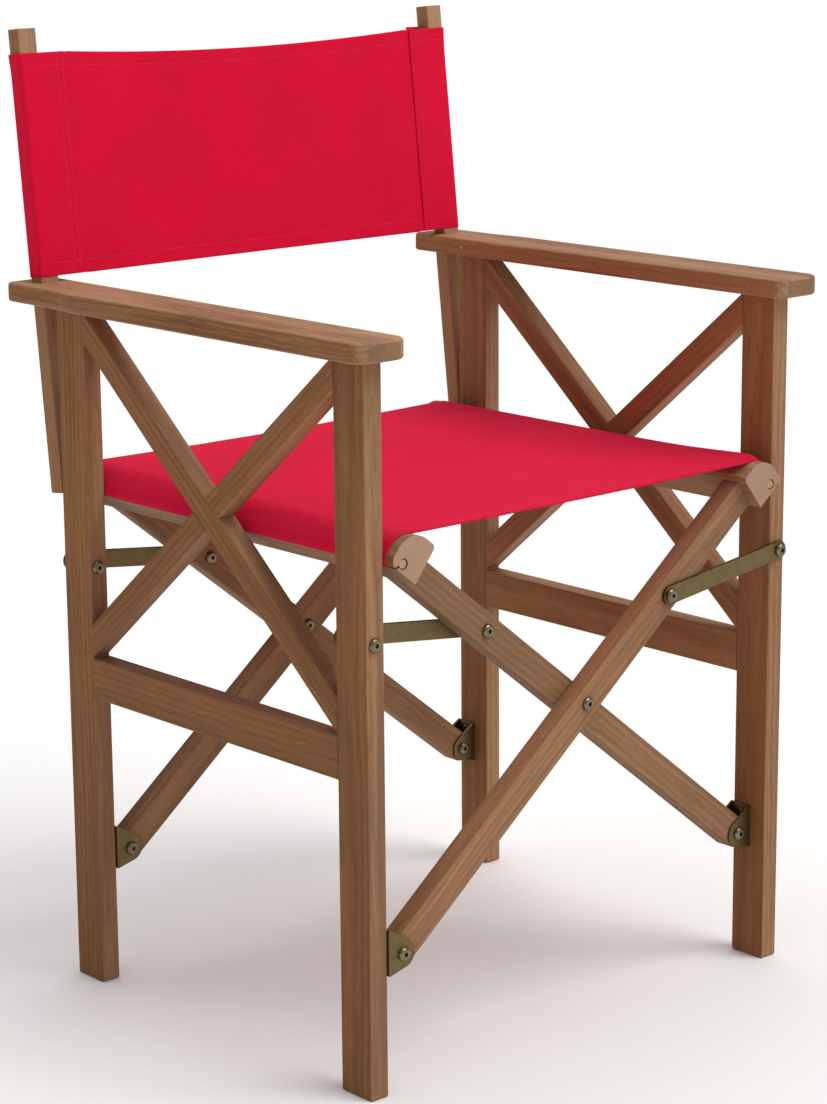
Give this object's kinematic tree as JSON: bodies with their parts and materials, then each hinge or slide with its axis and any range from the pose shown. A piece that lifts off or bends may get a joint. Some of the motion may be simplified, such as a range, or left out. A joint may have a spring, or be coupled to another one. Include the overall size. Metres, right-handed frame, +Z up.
{
  "type": "folding chair",
  "caption": "Folding director's chair: hardwood side frames with crossed braces, a scissor base that folds sideways, and a canvas seat and back.",
  "frame": {"origin": "on the floor, under the middle of the open chair's bounding box", "axes": "+X to the sitter's left, which is the right of someone facing the chair; -Y is the front of the chair; +Z up"},
  "size_m": [0.578, 0.5183, 0.9099],
  "materials": {
    "teak": "oiled hardwood with visible straight grain, satin",
    "dowel": "plain light wooden dowel",
    "canvas": "plain-woven red cotton canvas, matt",
    "plated_steel": "flat steel with a dull olive plating",
    "steel": "dark zinc-plated fasteners"
  },
  "bodies": {
    "left_frame": {"leg_front_left": "teak", "bracket_front_left": "plated_steel", "leg_rear_left": "teak", "bracket_rear_left": "plated_steel", "low_rail_left": "teak", "brace_front_left": "teak", "brace_rear_left": "teak", "arm_left": "teak", "arm_pins_left": "steel", "back_post_left": "teak", "post_screw_left": "steel", "bracket_screws_left": "steel", "pivot_bolts_left": "steel", "link_leg_bolts_left": "steel", "back_sleeve_left": "canvas", "back_panel": "canvas"},
    "scissor_a": {"scissor_a_front": "teak", "scissor_a_rear": "teak", "scissor_link_pins_a": "steel", "seat_rail_right": "teak", "seat_dowel_right": "dowel", "centre_bolts": "steel", "centre_washers": "steel", "seat_sling": "canvas"},
    "scissor_b": {"scissor_b_front": "teak", "scissor_b_rear": "teak", "scissor_link_pins_b": "steel", "seat_rail_left": "teak", "seat_dowel_left": "dowel"},
    "right_frame": {"leg_front_right": "teak", "bracket_front_right": "plated_steel", "leg_rear_right": "teak", "bracket_rear_right": "plated_steel", "low_rail_right": "teak", "brace_front_right": "teak", "brace_rear_right": "teak", "arm_right": "teak", "arm_pins_right": "steel", "back_post_right": "teak", "post_screw_right": "steel", "bracket_screws_right": "steel", "pivot_bolts_right": "steel", "link_leg_bolts_right": "steel", "back_sleeve_right": "canvas"},
    "link_front_left_arm": {"link_front_left": "plated_steel", "link_cap_front_left": "steel"},
    "link_rear_left_arm": {"link_rear_left": "plated_steel", "link_cap_rear_left": "steel"},
    "link_front_right_arm": {"link_front_right": "plated_steel", "link_cap_front_right": "steel"},
    "link_rear_right_arm": {"link_rear_right": "plated_steel", "link_cap_rear_right": "steel"}
  },
  "joints": [
    {"name": "fold", "type": "hinge", "parent": "left_frame", "child": "scissor_a", "pos_m": [-0.229, -0.0211, 0.129], "axis": [0, -1, 0], "range_deg": [0, 38], "deforming": ["seat_sling", "back_panel"]},
    {"name": "scissor_cross", "type": "hinge", "parent": "scissor_a", "child": "scissor_b", "pos_m": [0, -0.0211, 0.3102], "axis": [0, 1, 0], "range_deg": [0, 81.4]},
    {"name": "right_frame_turn", "type": "hinge", "parent": "scissor_b", "child": "right_frame", "pos_m": [0.229, -0.0211, 0.129], "axis": [0, -1, 0], "range_deg": [0, 38.1]},
    {"name": "link_front_left_turn", "type": "hinge", "parent": "left_frame", "child": "link_front_left_arm", "pos_m": [-0.257, -0.2181, 0.4125], "axis": [0, -1, 0], "range_deg": [0, 67.2]},
    {"name": "link_rear_left_turn", "type": "hinge", "parent": "left_frame", "child": "link_rear_left_arm", "pos_m": [-0.257, 0.1759, 0.4125], "axis": [0, -1, 0], "range_deg": [0, 67.2]},
    {"name": "link_front_right_turn", "type": "hinge", "parent": "right_frame", "child": "link_front_right_arm", "pos_m": [0.257, -0.2181, 0.4125], "axis": [0, 1, 0], "range_deg": [0, 67.2]},
    {"name": "link_rear_right_turn", "type": "hinge", "parent": "right_frame", "child": "link_rear_right_arm", "pos_m": [0.257, 0.1759, 0.4125], "axis": [0, 1, 0], "range_deg": [0, 67.2]}
  ],
  "couplings": [
    {"joint": "scissor_cross", "follows": "fold", "ratio": 2.14},
    {"joint": "right_frame_turn", "follows": "fold", "ratio": 1},
    {"joint": "link_front_left_turn", "follows": "fold", "ratio": 1.762},
    {"joint": "link_rear_left_turn", "follows": "fold", "ratio": 1.762},
    {"joint": "link_front_right_turn", "follows": "fold", "ratio": 1.762},
    {"joint": "link_rear_right_turn", "follows": "fold", "ratio": 1.762}
  ]
}
